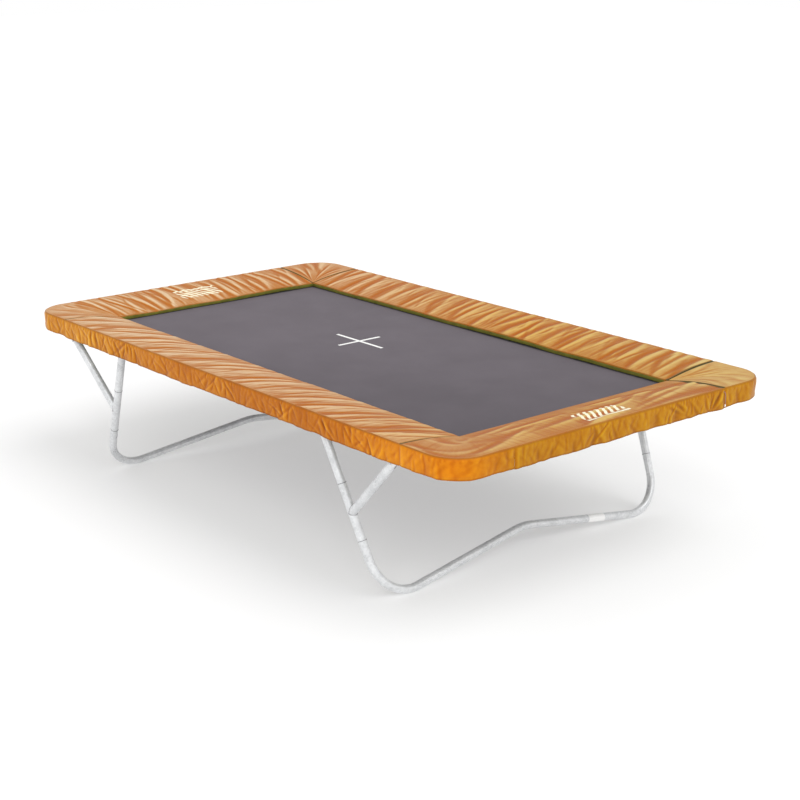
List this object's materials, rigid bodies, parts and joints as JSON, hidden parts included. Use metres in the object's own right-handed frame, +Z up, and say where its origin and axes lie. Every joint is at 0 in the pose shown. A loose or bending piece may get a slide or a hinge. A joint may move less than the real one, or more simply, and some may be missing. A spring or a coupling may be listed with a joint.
{
  "type": "rectangular trampoline",
  "caption": "Rectangular garden trampoline with padded edges, gathered skirts and a sprung woven bed on two bent galvanised tube bases.",
  "frame": {"origin": "on the ground below the middle of the bed", "axes": "+X along the length towards the right end, +Y across the width towards the back, +Z up"},
  "size_m": [3.6946, 2.134, 0.8638],
  "materials": {
    "galvanised_tube": "hot-dip galvanised, mottled, satin",
    "zinc_steel": "bright zinc plated",
    "spring_steel": "zinc plated spring wire",
    "foam": "closed-cell foam",
    "pad_cover": "wrinkled PVC-coated fabric, semi-gloss",
    "pad_skirt": "gathered PVC-coated fabric, semi-gloss",
    "woven_mat": "fine woven polypropylene, matte",
    "webbing": "woven polyester webbing",
    "mark_tape": "white sewn tape",
    "elastic": "black elastic",
    "label": "blank white self-adhesive label",
    "cord": "braided polyester cord",
    "cord_tip": "white sealed tip"
  },
  "bodies": {
    "frame": {"corner_tube_front_left": "galvanised_tube", "corner_tube_front_right": "galvanised_tube", "corner_tube_back_left": "galvanised_tube", "corner_tube_back_right": "galvanised_tube", "side_rail_front_left": "galvanised_tube", "side_rail_front_right": "galvanised_tube", "side_rail_back_left": "galvanised_tube", "side_rail_back_right": "galvanised_tube", "end_rail_left": "galvanised_tube", "end_rail_right": "galvanised_tube", "leg_post_front_left": "galvanised_tube", "leg_post_front_right": "galvanised_tube", "leg_post_back_left": "galvanised_tube", "leg_post_back_right": "galvanised_tube", "leg_upright_front_left": "galvanised_tube", "leg_upright_front_right": "galvanised_tube", "leg_upright_back_left": "galvanised_tube", "leg_upright_back_right": "galvanised_tube", "leg_strut_front_left": "galvanised_tube", "leg_strut_front_right": "galvanised_tube", "leg_strut_back_left": "galvanised_tube", "leg_strut_back_right": "galvanised_tube", "base_frame_left": "galvanised_tube", "base_frame_right": "galvanised_tube", "blank_label": "label", "strut_lugs": "zinc_steel", "strut_bolts": "zinc_steel", "strut_nuts": "zinc_steel", "spring_pins": "zinc_steel", "side_springs": "spring_steel", "end_springs": "spring_steel", "corner_springs": "spring_steel", "side_pad_foam": "foam", "end_pad_foam": "foam", "corner_pad_foam": "foam", "side_cover_front": "pad_cover", "side_cover_back": "pad_cover", "end_cover_left": "pad_cover", "end_cover_right": "pad_cover", "corner_cover_front_left": "pad_cover", "corner_cover_front_right": "pad_cover", "corner_cover_back_left": "pad_cover", "corner_cover_back_right": "pad_cover", "side_skirt_front": "pad_skirt", "side_skirt_back": "pad_skirt", "end_skirt_left": "pad_skirt", "end_skirt_right": "pad_skirt", "corner_skirt_front_left": "pad_skirt", "corner_skirt_front_right": "pad_skirt", "corner_skirt_back_left": "pad_skirt", "corner_skirt_back_right": "pad_skirt", "pad_ties": "elastic", "tie_cord": "cord", "tie_cord_tip": "cord_tip"},
    "bed": {"mat": "woven_mat", "mat_webbing": "webbing", "centre_mark": "mark_tape", "v_rings": "zinc_steel"}
  },
  "joints": [
    {"name": "bed_bounce", "type": "slide", "parent": "frame", "child": "bed", "axis": [0, 0, 1], "range_m": [-0.25, 0], "stiffness_N_per_m": 5000, "springref_m": 0.03, "deforming": ["side_springs", "end_springs", "corner_springs"]}
  ]
}
